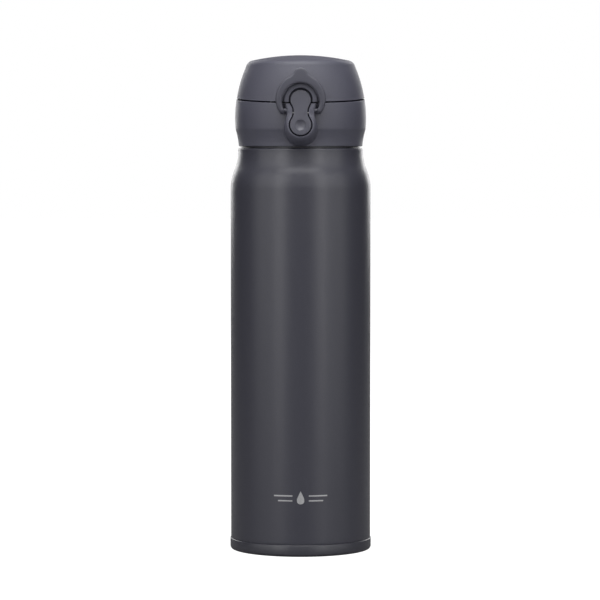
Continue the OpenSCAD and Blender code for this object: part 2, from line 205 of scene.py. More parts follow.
def turned(profile, steps):
    """A body of revolution round Z from a closed outline of (radius, height) in millimetres."""
    bm = bmesh.new()
    rim = [bm.verts.new((r * MM, 0, z * MM)) for r, z in profile]
    edges = [bm.edges.new(pair) for pair in zip(rim, rim[1:] + rim[:1])]
    bmesh.ops.spin(bm, geom=rim + edges, cent=(0, 0, 0), axis=(0, 0, 1), angle=2 * pi,
                   steps=steps, use_merge=True)
    bmesh.ops.remove_doubles(bm, verts=bm.verts, dist=1e-6)
    bmesh.ops.dissolve_degenerate(bm, dist=1e-7, edges=bm.edges)
    bmesh.ops.recalc_face_normals(bm, faces=bm.faces)
    return bm


def solid(name, bm, sharp=35):
    """Turns a bmesh into a smooth-shaded object whose edges over the sharp angle stay crisp."""
    mesh = bpy.data.meshes.new(name)
    bm.to_mesh(mesh)
    bm.free()
    mesh.shade_smooth()
    mesh.set_sharp_from_angle(angle=radians(sharp))
    obj = bpy.data.objects.new(name, mesh)
    bpy.context.scene.collection.objects.link(obj)
    return obj


def fit_out(obj, body, finish, slot, *nodes):
    """Gives a piece its finish and its body, and hides the nodes that it stands for. The slot is not used.
    """
    obj.data.materials.clear()
    obj.data.materials.append(finish)
    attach(obj, body)
    if nodes:
        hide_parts(*nodes)
    return obj


def shader_of(name, colour, roughness, metallic=0.0):
    """A new material: its name, its shader, its nodes and links, and the object coordinates."""
    material = bpy.data.materials.new(name)
    material.use_nodes = True
    tree = material.node_tree
    shader = tree.nodes["Principled BSDF"]
    shader.inputs["Base Color"].default_value = (*colour, 1)
    shader.inputs["Roughness"].default_value = roughness
    shader.inputs["Metallic"].default_value = metallic
    place = tree.nodes.new("ShaderNodeTexCoord").outputs["Object"]
    return material, shader, tree, place


def grain(tree, place, scale, detail=2.0, stretch=(1, 1, 1)):
    """A noise pattern in object space, stretched if asked."""
    mapping = tree.nodes.new("ShaderNodeMapping")
    mapping.inputs["Scale"].default_value = stretch
    noise = tree.nodes.new("ShaderNodeTexNoise")
    noise.inputs["Scale"].default_value = scale
    noise.inputs["Detail"].default_value = detail
    tree.links.new(place, mapping.inputs["Vector"])
    tree.links.new(mapping.outputs["Vector"], noise.inputs["Vector"])
    return noise.outputs["Fac"]


def spread(tree, value, low, high):
    """Maps a pattern onto a range of values."""
    node = tree.nodes.new("ShaderNodeMapRange")
    node.inputs["From Min"].default_value = 0.3
    node.inputs["From Max"].default_value = 0.7
    node.inputs["To Min"].default_value = low
    node.inputs["To Max"].default_value = high
    tree.links.new(value, node.inputs["Value"])
    return node.outputs["Result"]


def shades(tree, value, dark, light):
    """Maps a pattern onto two colours."""
    ramp = tree.nodes.new("ShaderNodeValToRGB")
    ramp.color_ramp.elements[0].position = 0.3
    ramp.color_ramp.elements[0].color = (*dark, 1)
    ramp.color_ramp.elements[1].position = 0.7
    ramp.color_ramp.elements[1].color = (*light, 1)
    tree.links.new(value, ramp.inputs["Fac"])
    return ramp.outputs["Color"]


def emboss(tree, shader, value, distance):
    """Bump of a real height in metres."""
    bump = tree.nodes.new("ShaderNodeBump")
    bump.inputs["Distance"].default_value = distance
    bump.inputs["Strength"].default_value = 1.0
    tree.links.new(value, bump.inputs["Height"])
    tree.links.new(bump.outputs["Normal"], shader.inputs["Normal"])


def slate_paint():
    """Satin slate grey paint: fine flakes, a slight orange peel and a thin clear coat."""
    material, shader, tree, place = shader_of("slate_paint", (0.028, 0.028, 0.039), 0.36)
    flakes = grain(tree, place, 5200, 1.0)
    colour = shades(tree, flakes, (0.022, 0.022, 0.032), (0.033, 0.033, 0.046))
    tree.links.new(colour, shader.inputs["Base Color"])
    mottle = grain(tree, place, 900, 2.0)
    tree.links.new(spread(tree, mottle, 0.34, 0.42), shader.inputs["Roughness"])
    shader.inputs["Specular IOR Level"].default_value = 0.55
    shader.inputs["Coat Weight"].default_value = 0.12
    shader.inputs["Coat Roughness"].default_value = 0.28
    emboss(tree, shader, grain(tree, place, 2600, 1.0), 0.000006)
    return material


def shoulder(inset):
    """The shoulder's outward and inward arcs, inset for the wall's inner side."""
    rise = SHOULDER_BEND_Z - SHOULDER_Z
    bend = 2 * atan2(BODY_R - SHOULDER_R, rise)
    r = rise / (2 * sin(bend))
    turn = degrees(bend)
    return (arc(BODY_R - r, SHOULDER_Z, r - inset, 0, turn, 18)
            + arc(SHOULDER_R + r, SHOULDER_BEND_Z, r + inset, 180 + turn, 180, 18)[1:])


shell_profile = (
    [(BODY_R - 1.35, 2.6), (BODY_R - 0.75, 2.6), (BODY_R - 0.75, 5.8)]
    + arc(BODY_R - 0.15, 5.95, 0.15, -90, 0, 3)
    + [(BODY_R, 7.2), (BODY_R, 60), (BODY_R, 120), (BODY_R, 178)]
    + shoulder(0)
    + [(SHOULDER_R, 198.3)]
    + arc(SHOULDER_R - 0.6, SHOULDER_TOP_Z - 0.6, 0.6, 0, 90, 6)
    + [(BEAD_R, SHOULDER_TOP_Z), (BEAD_R - 0.1, SHOULDER_TOP_Z + 0.2)]
    + [(BEAD_R - 0.25, SHOULDER_TOP_Z + 0.28), (BEAD_R - 1.35, SHOULDER_TOP_Z + 0.28)]
    + [(BEAD_R - 1.5, SHOULDER_TOP_Z + 0.2), (BEAD_R - 1.6, SHOULDER_TOP_Z)]
    + [(NECK_R + 0.5, SHOULDER_TOP_Z), (NECK_R, SHOULDER_TOP_Z + 0.5)]
    + arc(NECK_R - 0.5, MOUTH_Z - 0.5, 0.5, 0, 90, 5)
    + [(MOUTH_R, MOUTH_Z), (MOUTH_R, MOUTH_Z - 0.7), (NECK_IN_R, MOUTH_Z - 0.7)]
    + [(NECK_IN_R, SHOULDER_TOP_Z - STEEL_T), (SHOULDER_R - STEEL_T, SHOULDER_TOP_Z - STEEL_T)]
    + shoulder(STEEL_T)[::-1]
    + [(BODY_R - STEEL_T, 6.9), (BODY_R - 1.35, 6.0)]
)


def helix(root_r, crest_r, z0, turns, steps=64):
    """A thread ridge: a trapezoid section turned and raised together, with tapered ends."""
    bm = bmesh.new()
    section = [(root_r, -1.0), (crest_r, -0.4), (crest_r, 0.4), (root_r, 1.0)]
    corners = [bm.verts.new((r * MM, 0, (z0 + z) * MM)) for r, z in section]
    face = bm.faces.new(corners)
    count = int(turns * steps)
    bmesh.ops.spin(bm, geom=[face], cent=(0, 0, 0), axis=(0, 0, 1), angle=2 * pi * turns,
                   dvec=(0, 0, THREAD_PITCH * turns * MM / count), steps=count)
    for v in bm.verts:
        level = atan2(v.co.y, v.co.x) / (2 * pi) % 1.0
        mid = [z0 + THREAD_PITCH * (level + k) for k in range(3)]
        along = min((abs(v.co.z / MM - z), z) for z in mid)[1] - z0
        end = min(along, THREAD_PITCH * turns - along) / (THREAD_PITCH * 0.12)
        reach = sqrt(v.co.x ** 2 + v.co.y ** 2) / MM
        if abs(reach - crest_r) < 0.01 and end < 1:
            scale = (root_r + (crest_r - root_r) * max(0.12, end)) / reach
            v.co.x *= scale
            v.co.y *= scale
    bmesh.ops.recalc_face_normals(bm, faces=bm.faces)
    return bm


paint = slate_paint()
outer_shell = solid("outer_shell_painted", turned(shell_profile, 224), 30)
fit_out(outer_shell, "bottle", paint, "painted_steel", "outer_shell")

# ---------------------------------------------------------------- Neck thread and mouth
# The thread is a separate ridge of bare stainless steel; the neck under it and the rim of the mouth belong
# to the painted shell.


def bare_steel(name="bare_steel", roughness=0.28):
    material, shader, tree, place = shader_of(name, (0.62, 0.62, 0.63), roughness, 1.0)
    brushed = grain(tree, place, 420, 3.0, (1, 1, 14))
    colour = shades(tree, brushed, (0.52, 0.52, 0.53), (0.68, 0.68, 0.69))
    tree.links.new(colour, shader.inputs["Base Color"])
    tree.links.new(spread(tree, brushed, roughness - 0.06, roughness + 0.08), shader.inputs["Roughness"])
    emboss(tree, shader, brushed, 0.000004)
    return material


steel = bare_steel()
thread_bm = helix(NECK_R - THREAD_ROOT, NECK_R + THREAD_DEPTH, THREAD_Z, THREAD_TURNS)
neck_thread = solid("neck_thread", thread_bm, 25)
fit_out(neck_thread, "bottle", steel, "bare_steel")

# ---------------------------------------------------------------- Inner bottle and vacuum space
# The inner wall that holds the drink, the disc welded into the foot, the foil wrapped round
# the inner wall, the getter and the solder seal. They are plain pressed and turned metal.


def metal_foil():
    material, shader, tree, place = shader_of("reflecting_foil", (0.8, 0.8, 0.82), 0.2, 1.0)
    crinkle = grain(tree, place, 160, 6.0)
    tree.links.new(shades(tree, crinkle, (0.7, 0.7, 0.72), (0.86, 0.86, 0.88)), shader.inputs["Base Color"])
    emboss(tree, shader, crinkle, 0.0004)
    return material


def dull_metal(name, colour, roughness):
    material, shader, tree, place = shader_of(name, colour, roughness, 1.0)
    cast = grain(tree, place, 900, 4.0)
    dark = tuple(c * 0.8 for c in colour)
    tree.links.new(shades(tree, cast, dark, colour), shader.inputs["Base Color"])
    tree.links.new(spread(tree, cast, roughness - 0.08, roughness + 0.1), shader.inputs["Roughness"])
    emboss(tree, shader, cast, 0.00002)
    return material


def refinish(node, material):
    """Gives a carried-over CAD node a new finish."""
    obj = frame["nodes"][node]
    obj.data.materials.clear()
    obj.data.materials.append(material)


refinish("inner_bottle", steel)
refinish("bottom_plate", steel)
refinish("radiation_foil", metal_foil())
refinish("getter_capsule", dull_metal("getter_metal", (0.5, 0.5, 0.48), 0.45))
refinish("vacuum_seal", dull_metal("solder", (0.42, 0.43, 0.46), 0.4))

# ---------------------------------------------------------------- Base cap
# A moulded plastic cover glued over the foot of the bottle. It stands a little proud of the
# paint, with a fine seam above it, a rounded lower edge and a shallow recess underneath.

BASE_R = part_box("base_cap")[1].x / MM
BASE_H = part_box("base_cap")[1].z / MM


def moulded(name, colour, roughness, pits=0.00001):
    """Matte moulded plastic: a spark-eroded tool leaves a fine even grain."""
    material, shader, tree, place = shader_of(name, colour, roughness)
    texture = grain(tree, place, 1900, 2.0)
    cloud = grain(tree, place, 60, 2.0)
    dark = tuple(c * 0.93 for c in colour)
    light = tuple(c * 1.07 for c in colour)
    tree.links.new(shades(tree, texture, dark, light), shader.inputs["Base Color"])
    tree.links.new(spread(tree, cloud, roughness - 0.03, roughness + 0.03), shader.inputs["Roughness"])
    shader.inputs["Specular IOR Level"].default_value = 0.5
    emboss(tree, shader, texture, pits)
    return material


RECESS_R = 25.4
RECESS_H = 0.8
FOOT_ROUND = 1.5
base_profile = (
    [(0, RECESS_H), (RECESS_R - 0.8, RECESS_H)]
    + arc(RECESS_R - 0.8, 0.4, 0.4, 90, 0, 3) + [(RECESS_R, 0)]
    + [(30, 0)]
    + arc(BASE_R - FOOT_ROUND, FOOT_ROUND, FOOT_ROUND, -90, 0, 8)
    + [(BASE_R, BASE_H - 0.3), (BASE_R - 0.04, BASE_H - 0.2), (BASE_R - 0.3, BASE_H)]
    + [(BASE_R - 1.0, BASE_H), (BASE_R - 1.0, 2.4), (BASE_R - 2, 1.8), (0, 1.8)]
)
base_plastic = moulded("base_plastic", (0.028, 0.028, 0.037), 0.37)
base_cap = solid("base_cap_moulded", turned(base_profile, 224), 30)
fit_out(base_cap, "bottle", base_plastic, "base_plastic", "base_cap")

# ---------------------------------------------------------------- Base label
# A round film label stuck in the recess of the base. It is metallised plastic film and has
# nothing printed on it.


def label_film():
    material, shader, tree, place = shader_of("label_film", (0.45, 0.46, 0.47), 0.4, 0.3)
    weave = grain(tree, place, 1500, 1.0)
    tree.links.new(shades(tree, weave, (0.42, 0.43, 0.44), (0.48, 0.49, 0.5)), shader.inputs["Base Color"])
    emboss(tree, shader, weave, 0.000005)
    return material


refinish("base_label", label_film())

# ---------------------------------------------------------------- Printed mark
# A small silver print low on the front: a plain drop between two pairs of rules, a generic
# ornament. It is screen-printed ink, a few hundredths of a millimetre thick.

MARK_Z = 29.0
MARK_THICK = 0.04
RULE_HALF = 0.32


def wrap_on_body(bm, lift):
    """Lays a flat print, drawn on X and Z in millimetres, on the body's front."""
    for v in bm.verts:
        x, z = v.co.x, v.co.z
        r = BODY_R + lift + (v.co.y if v.co.y > 0 else 0)
        v.co = Vector((x * MM, -sqrt(r * r - x * x) * MM, (MARK_Z + z) * MM))


def printed_mark():
    """The drop and its four rules, drawn flat, thickened and laid on the wall."""
    bm = bmesh.new()
    flanks = [(1.79, -0.55), (0.95, 1.35), (0.0, 3.3), (-0.95, 1.35), (-1.79, -0.55)]
    outline = arc(0, -1.2, 1.9, 200, 340, 12) + flanks
    faces = [bm.faces.new([bm.verts.new((x, 0, z)) for x, z in outline])]
    for sign in (-1, 1):
        for z, inner, outer in ((1.0, 4.0, 13.0), (-1.4, 4.0, 11.0)):
            columns = [inner + (outer - inner) * i / 10 for i in range(11)]
            low = [bm.verts.new((sign * x, 0, z - RULE_HALF)) for x in columns]
            high = [bm.verts.new((sign * x, 0, z + RULE_HALF)) for x in columns]
            for i in range(10):
                faces.append(bm.faces.new((low[i], low[i + 1], high[i + 1], high[i])))
    bmesh.ops.recalc_face_normals(bm, faces=bm.faces)
    grown = bmesh.ops.extrude_face_region(bm, geom=bm.faces[:])
    for v in (g for g in grown["geom"] if isinstance(g, bmesh.types.BMVert)):
        v.co.y = MARK_THICK
    wrap_on_body(bm, 0.005)
    bmesh.ops.recalc_face_normals(bm, faces=bm.faces)
    return bm


def silver_print():
    material, shader, tree, place = shader_of("silver_print", (0.36, 0.36, 0.37), 0.4, 0.4)
    speck = grain(tree, place, 4200, 1.0)
    tree.links.new(shades(tree, speck, (0.31, 0.31, 0.32), (0.41, 0.41, 0.42)), shader.inputs["Base Color"])
    emboss(tree, shader, speck, 0.000004)
    return material


fit_out(solid("printed_mark", printed_mark(), 30), "bottle", silver_print(), "painted_steel")

# ---------------------------------------------------------------- Cap collar
# The lower half of the cap, moulded with the lower half of the button's frame and the ears of
# the hinge. Its top is cut by the seam plane, which falls towards the front.

FLASK_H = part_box("lid_shell")[1].z / MM
COLLAR_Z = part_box("cap_collar")[0].z / MM
COLLAR_LOW_R = 30.65
EDGE_Z = 208.5
DECK_Z = 216.5
DECK_T = 1.8
DECK_HOLE_R = 15.7
GROOVE_IN_R = 17.9
GROOVE_OUT_R = 20.1
GROOVE_H = 0.85
COLLAR_IN_R = 30.4
SKIRT_IN_R = 28.9
CAP_T = 1.8
SEAM_Z = 223.54
SEAM_TILT = 4.0
SEAM_GAP = 0.6
hinge = next(j for j in frame["joints"] if j["name"] == "lid_flip")
HINGE_Y = hinge["pos_m"][1] / MM
HINGE_Z = hinge["pos_m"][2] / MM
KNUCKLE_R = 3.35
KNUCKLE_HALF = 7.0
EAR_HALF = 10.4
EAR_GAP = 0.35
PIN_R = 1.2
LEAN = 12.0
FACE = Vector((0, -35.6, 216.9))
UP = Vector((0, sin(radians(LEAN)), cos(radians(LEAN))))
OUT = Vector((0, -cos(radians(LEAN)), sin(radians(LEAN))))


def side_r(z, inset=0.0):
    """Radius of the cap's side arc at a height."""
    return -31.1 + sqrt((63.5 - inset) ** 2 - (z - 214) ** 2)


def on_face(u, v, d=0.0):
    """A point across, up and out from the leaning latch face, in metres."""
    return (FACE + Vector((u, 0, 0)) + UP * v + OUT * d) * MM


def keyhole(top_v, top_r, low_v, low_r, waist):
    """Outline of two circles joined by a waist with concave sides, anticlockwise."""
    span = top_v - low_v
    pull = sqrt(top_r - waist) + sqrt(low_r - waist)
    side = ((span / pull) ** 2 - (top_r + low_r) / 2 - waist) / 2
    mid = top_v - sqrt((top_r + side) ** 2 - (waist + side) ** 2)
    a_top = degrees(atan2(mid - top_v, waist + side))
    a_low = degrees(atan2(mid - low_v, waist + side))
    right = (arc(0, low_v, low_r, -90, a_low, 22)
             + arc(waist + side, mid, side, 180 + a_low, 180 + a_top, 16)[1:]
             + arc(0, top_v, top_r, a_top, 90, 24)[1:])
    return right + [(-u, v) for u, v in right[-2:0:-1]]


def outside(u, v):
    """Whether a point on a rim of the frame is on the outer one, not round the button's hole."""
    mid_v = min(BUTTON_TOP[0], max(BUTTON_LOW[0], v))
    return sqrt(u * u + (v - mid_v) ** 2) > FRAME_PARTING


def carve(obj, cutter, operation="DIFFERENCE"):
    """Applies a boolean with a helper object and removes the helper."""
    modifier = obj.modifiers.new("carve", "BOOLEAN")
    modifier.operation = operation
    modifier.solver = "EXACT"
    modifier.object = cutter
    graph = bpy.context.evaluated_depsgraph_get()
    mesh = bpy.data.meshes.new_from_object(obj.evaluated_get(graph))
    obj.modifiers.clear()
    obj.data = mesh
    bpy.data.objects.remove(cutter)
    mesh.shade_smooth()
    mesh.set_sharp_from_angle(angle=radians(30))
    return obj


def tip_rim(bm, far_z, near_z):
    """Tips the rim of a cap part, turned level, to the slope of the seam."""
    for v in bm.verts:
        z = v.co.z / MM
        share = min(1.0, max(0.0, (z - far_z) / (near_z - far_z)))
        if share > 0:
            rise = share * v.co.y / MM * tan(radians(SEAM_TILT))
            r = sqrt(v.co.x ** 2 + v.co.y ** 2) / MM
            grown = 1 + (side_r(z + rise) - side_r(z)) / r
            v.co = Vector((v.co.x * grown, v.co.y * grown, v.co.z + rise * MM))
    return bm


def rim_round(z, way, r=0.3, n=4):
    """A wall's rim with both edges rounded, from the outer face to the inner one."""
    turns = [radians(90 * i / n) for i in range(n + 1)]
    outer = [(r - r * cos(a), z + way * (r * sin(a) - r)) for a in turns]
    inner = [(CAP_T - r + r * sin(a), z + way * (r * cos(a) - r)) for a in turns]
    return [(side_r(h, t), h) for t, h in outer + inner]


def rod(name, mid, half, r, steps=64, chamfer=0.0):
    """A cylinder along X, in millimetres, with its end edges rounded if asked."""
    bm = bmesh.new()
    bmesh.ops.create_cone(bm, cap_ends=True, segments=steps, radius1=r * MM, radius2=r * MM,
                          depth=2 * half * MM)
    if chamfer:
        ends = [e for e in bm.edges if abs(e.verts[0].co.z - e.verts[1].co.z) < 1e-7]
        bmesh.ops.bevel(bm, geom=ends, offset=chamfer * MM, segments=3, profile=0.5,
                        affect="EDGES", material=-1)
    bmesh.ops.rotate(bm, verts=bm.verts, cent=(0, 0, 0), matrix=Matrix.Rotation(pi / 2, 3, "Y"))
    bmesh.ops.translate(bm, verts=bm.verts, vec=Vector(mid) * MM)
    return solid(name, bm)


def block(name, low, high, chamfer=0.0):
    """A box between two corners in millimetres, with rounded edges if asked."""
    bm = bmesh.new()
    bmesh.ops.create_cube(bm, size=1)
    size = Vector(high) - Vector(low)
    bmesh.ops.scale(bm, verts=bm.verts, vec=size * MM)
    bmesh.ops.translate(bm, verts=bm.verts, vec=(Vector(low) + size / 2) * MM)
    if chamfer:
        bmesh.ops.bevel(bm, geom=bm.edges[:], offset=chamfer * MM, segments=3, profile=0.5,
                        affect="EDGES", material=-1)
    return solid(name, bm)


flare = side_r(EDGE_Z) - COLLAR_LOW_R
COLLAR_RIM_Z = SEAM_Z - SEAM_GAP / 2
collar_profile = (
    [(SKIRT_IN_R, COLLAR_Z), (COLLAR_LOW_R - 0.3, COLLAR_Z), (COLLAR_LOW_R, COLLAR_Z + 0.3)]
    + [(COLLAR_LOW_R + flare * (i / 14) ** 1.6, COLLAR_Z + (EDGE_Z - COLLAR_Z) * i / 14)
       for i in range(1, 15)]
    + [(side_r(z), z) for z in (EDGE_Z + (COLLAR_RIM_Z - 0.6 - EDGE_Z) * i / 20 for i in range(1, 21))]
    + rim_round(COLLAR_RIM_Z, 1)
    + [(side_r(z, CAP_T), z) for z in (COLLAR_RIM_Z - 0.6, 221.4, 220.2, DECK_Z + DECK_T + 0.8)]
    + arc(side_r(220, CAP_T) - 0.9, DECK_Z + DECK_T + 0.8, 0.8, 0, -90, 4)
    + [(DECK_HOLE_R + 0.2, DECK_Z + DECK_T), (DECK_HOLE_R, DECK_Z + DECK_T - 0.2)]
    + [(DECK_HOLE_R, DECK_Z), (GROOVE_IN_R, DECK_Z), (GROOVE_IN_R, DECK_Z + GROOVE_H)]
    + [(GROOVE_OUT_R, DECK_Z + GROOVE_H), (GROOVE_OUT_R, DECK_Z)]
    + [(COLLAR_IN_R, DECK_Z), (COLLAR_IN_R, 210), (SKIRT_IN_R, 208.4)]
)

FRAME_R = 8.2
FRAME_LOW_V = -7.2
FRAME_WAIST = 6.8
BUTTON_TOP = (5.9, 5.04)
BUTTON_LOW = (-6.42, 5.23)
BUTTON_WAIST = 3.4
BUTTON_GAP = 0.5
FRAME_BACK_Y = -29.3
FRAME_SET = 0.5
FRAME_DEPTH = 9.0
FRAME_PARTING = 6.3
FRAME_FALL = 0.56


def latch_frame():
    """The raised frame round the button: a keyhole band whose foot falls away all round."""
    outer = keyhole(BUTTON_TOP[0], FRAME_R, FRAME_LOW_V, FRAME_R, FRAME_WAIST)
    inner = keyhole(BUTTON_TOP[0], BUTTON_TOP[1] + BUTTON_GAP, BUTTON_LOW[0],
                    BUTTON_LOW[1] + BUTTON_GAP, BUTTON_WAIST + BUTTON_GAP)
    bm = bmesh.new()
    rings = [[bm.verts.new((u, v, 0)) for u, v in outline] for outline in (outer, inner)]
    loops = [[bm.edges.new(pair) for pair in zip(ring, ring[1:] + ring[:1])] for ring in rings]
    bmesh.ops.bridge_loops(bm, edges=loops[0] + loops[1])
    spokes = [e for e in bm.edges if e not in loops[0] and e not in loops[1]]
    bmesh.ops.subdivide_edges(bm, edges=spokes, cuts=6, use_grid_fill=True)
    grown = bmesh.ops.extrude_face_region(bm, geom=bm.faces[:])
    far = [v for v in grown["geom"] if isinstance(v, bmesh.types.BMVert)]
    bmesh.ops.translate(bm, verts=far, vec=(0, 0, -FRAME_SET))
    bmesh.ops.recalc_face_normals(bm, faces=bm.faces)
    face_rims = [e for e in bm.edges if e.calc_face_angle(0) > 1.2
                 and all(abs(v.co.z + FRAME_SET) < 1e-6 for v in e.verts)]
    wide = [e for e in face_rims if all(outside(v.co.x, v.co.y) for v in e.verts)]
    narrow = [e for e in face_rims if e not in wide]
    for v in bm.verts:
        if v.co.z > -1e-6:
            v.co.z = -FRAME_DEPTH
    bmesh.ops.recalc_face_normals(bm, faces=bm.faces)
    bmesh.ops.bevel(bm, geom=wide, offset=0.9, segments=5, profile=0.5, affect="EDGES", material=-1)
    bmesh.ops.bevel(bm, geom=[e for e in narrow if e.is_valid], offset=0.2, segments=3,
                    profile=0.5, affect="EDGES", material=-1)
    for v in bm.verts:
        u, w, d = v.co
        front = (d + FRAME_DEPTH) / (FRAME_DEPTH - FRAME_SET)
        reach = sqrt(u * u + (w - BUTTON_LOW[0]) ** 2) - BUTTON_LOW[1] - BUTTON_GAP
        low = min(1.0, max(0.0, (1.0 - w) / 9.0))
        fall = FRAME_FALL * max(0.0, reach) ** 2 * low * low * (3 - 2 * low)
        place = on_face(u, w, d - fall * max(0.0, front))
        if front < 0.5:
            place = place + OUT * ((FRAME_BACK_Y * MM - place.y) / OUT.y)
        v.co = place
    return bm


# The collar, lid and latch are one plastic in three colours: the collar's is set the lightest, painted
# light.
cap_plastic = moulded("cap_plastic", (0.055, 0.055, 0.076), 0.48)
swing = next(j for j in frame["joints"] if j["name"] == "ring_swing")
STUD_Y = swing["pos_m"][1] / MM
STUD_Z = swing["pos_m"][2] / MM
STUD_R = 1.0

collar = solid("cap_collar_moulded", tip_rim(turned(collar_profile, 224), 219.2, COLLAR_RIM_Z - 1.2), 30)
frame_bm = latch_frame()
seam_normal = Vector((0, -sin(radians(SEAM_TILT)), cos(radians(SEAM_TILT))))
top = bmesh.ops.bisect_plane(
    frame_bm, geom=frame_bm.verts[:] + frame_bm.edges[:] + frame_bm.faces[:], dist=1e-7,
    plane_co=(0, 0, (SEAM_Z - SEAM_GAP / 2) * MM), plane_no=seam_normal, clear_outer=True)
top_edges = [e for e in top["geom_cut"] if isinstance(e, bmesh.types.BMEdge)]
bmesh.ops.holes_fill(frame_bm, edges=top_edges)
bmesh.ops.recalc_face_normals(frame_bm, faces=frame_bm.faces)
carve(collar, solid("frame_helper", frame_bm), "UNION")
for sign in (-1, 1):
    mid = sign * (KNUCKLE_HALF + EAR_GAP + EAR_HALF) / 2
    half = (EAR_HALF - KNUCKLE_HALF - EAR_GAP) / 2
    carve(collar, rod("ear", (mid, HINGE_Y, HINGE_Z), half, KNUCKLE_R, 64, 0.35), "UNION")
    low, high = (mid - half, HINGE_Y - 3, HINGE_Z - 7), (mid + half, HINGE_Y + 1.6, HINGE_Z)
    carve(collar, block("ear_web", low, high, 0.3), "UNION")
notch = KNUCKLE_HALF + EAR_GAP
carve(collar, block("notch", (-notch, HINGE_Y - 4, HINGE_Z - 4.4), (notch, HINGE_Y + 16, HINGE_Z + 16)))
carve(collar, rod("pin_bore", (0, HINGE_Y, HINGE_Z), EAR_HALF + 1, PIN_R + 0.02))
for sign in (-1, 1):
    carve(collar, rod("stud_bore", (sign * 7.1, STUD_Y, STUD_Z), 2.5, STUD_R + 0.06, 32))
fit_out(collar, "cap", cap_plastic, "cap_plastic", "cap_collar")

# ---------------------------------------------------------------- Thread sleeve and seals
# The threaded insert snapped into the collar, and the food-grade silicone rings: one under the
# deck, one on the stopper that seals in the neck.


def silicone():
    material, shader, tree, place = shader_of("silicone", (0.36, 0.36, 0.35), 0.5)
    bloom = grain(tree, place, 500, 2.0)
    tree.links.new(shades(tree, bloom, (0.33, 0.33, 0.32), (0.39, 0.39, 0.38)), shader.inputs["Base Color"])
    shader.inputs["Subsurface Weight"].default_value = 0.25
    shader.inputs["Subsurface Radius"].default_value = (0.002, 0.002, 0.002)
    shader.inputs["Subsurface Scale"].default_value = 1.0
    emboss(tree, shader, bloom, 0.00001)
    return material


inner_plastic = moulded("inner_plastic", (0.022, 0.022, 0.026), 0.34, 0.000005)
seal_rubber = silicone()
refinish("thread_sleeve", inner_plastic)
refinish("mouthpiece_gasket", seal_rubber)

gasket_profile = (
    [(17.9, 201.2), (18.9, 201.2)]
    + arc(19.5, 202.1, 0.2, -60, 100, 6)
    + [(18.9, 202.7), (18.9, 204.1)]
    + arc(19.5, 205.1, 0.2, -60, 100, 6)
    + [(18.9, 205.7), (18.8, 206.1), (17.9, 206.1)]
)
stopper_gasket = solid("stopper_gasket_moulded", turned(gasket_profile, 128), 40)
fit_out(stopper_gasket, "stopper", seal_rubber, "silicone", "stopper_gasket")

# ---------------------------------------------------------------- Mouthpiece
# Spout and stopper in one dark moulding: a rounded lip to drink from, a sunk floor with the
# drinking hole towards the button and the air hole behind it, and the plug below.

mouth_profile = (
    [(17, 199.9), (17.3, 199.6), (18.4, 199.6), (18.7, 200.1), (18.7, 200.9), (17.75, 200.9)]
    + [(17.75, 206.4), (18.8, 206.4), (18.8, 214.6), (23.1, 214.6), (23.3, 214.8), (23.3, 216.5)]
    + [(15.4, 216.5), (15.35, 219), (15.1, 223), (14.6, 227), (14.3, 230)]
    + arc(13.4, 230.6, 0.9, 0, 180, 12)
    + [(12.7, 229), (13.0, 227), (13.1, 225.8)]
    + arc(12.1, 225.6, 1.0, 0, -90, 6)
    + [(0, 224.6), (0, 223), (11.8, 223), (13.4, 220), (13.6, 214.8), (17, 213)]
)
mouthpiece = solid("mouthpiece_moulded", turned(mouth_profile, 128), 35)


def peg(name, x, y, z, r, height, steps=48):
    """A cylinder along Z, in millimetres."""
    bm = bmesh.new()
    bmesh.ops.create_cone(bm, cap_ends=True, segments=steps, radius1=r * MM, radius2=r * MM,
                          depth=height * MM)
    bmesh.ops.translate(bm, verts=bm.verts, vec=Vector((x, y, z)) * MM)
    return solid(name, bm)


carve(mouthpiece, peg("drink_hole", 0, -3.4, 224, 5.2, 4))
carve(mouthpiece, peg("air_hole", 0, 7.6, 224, 1.2, 4))
fit_out(mouthpiece, "cap", inner_plastic, "inner_plastic", "mouthpiece")

# ---------------------------------------------------------------- Lid shell
# The domed flip lid, moulded with the upper half of the button's frame, the horn, at its front
# and the hinge knuckle behind, in the same matte plastic as the collar, coloured a painted shade darker.

HORN_IN_R = 5.7
HORN_Z = 222.7
HORN_REACH = 65.8


def dome_h(r, inset=0.0):
    """Height of the lid's top at a radius."""
    return FLASK_H - 110 + sqrt((110 - inset) ** 2 - r * r)


LID_RIM_Z = SEAM_Z + SEAM_GAP / 2
side_end = (side_r(239.8), 239.8)
top_start = (23.8, dome_h(23.8))
lid_profile = (
    rim_round(LID_RIM_Z, -1)[::-1]
    + [(side_r(z, 0.1), z) for z in (LID_RIM_Z + 0.6 + (239 - LID_RIM_Z) * i / 16 for i in range(16))]
    + [side_end]
    + bend_between(side_end, (26, 241.93), top_start, 12)
    + [(r, dome_h(r)) for r in (23.8, 22, 19, 16, 13, 10, 7, 3.5, 0)]
    + [(r, dome_h(r, CAP_T)) for r in (0, 6, 12, 18, 22)]
    + [(side_r(z, CAP_T), z) for z in (238.8 - (238 - LID_RIM_Z) * i / 8 for i in range(9))]
)


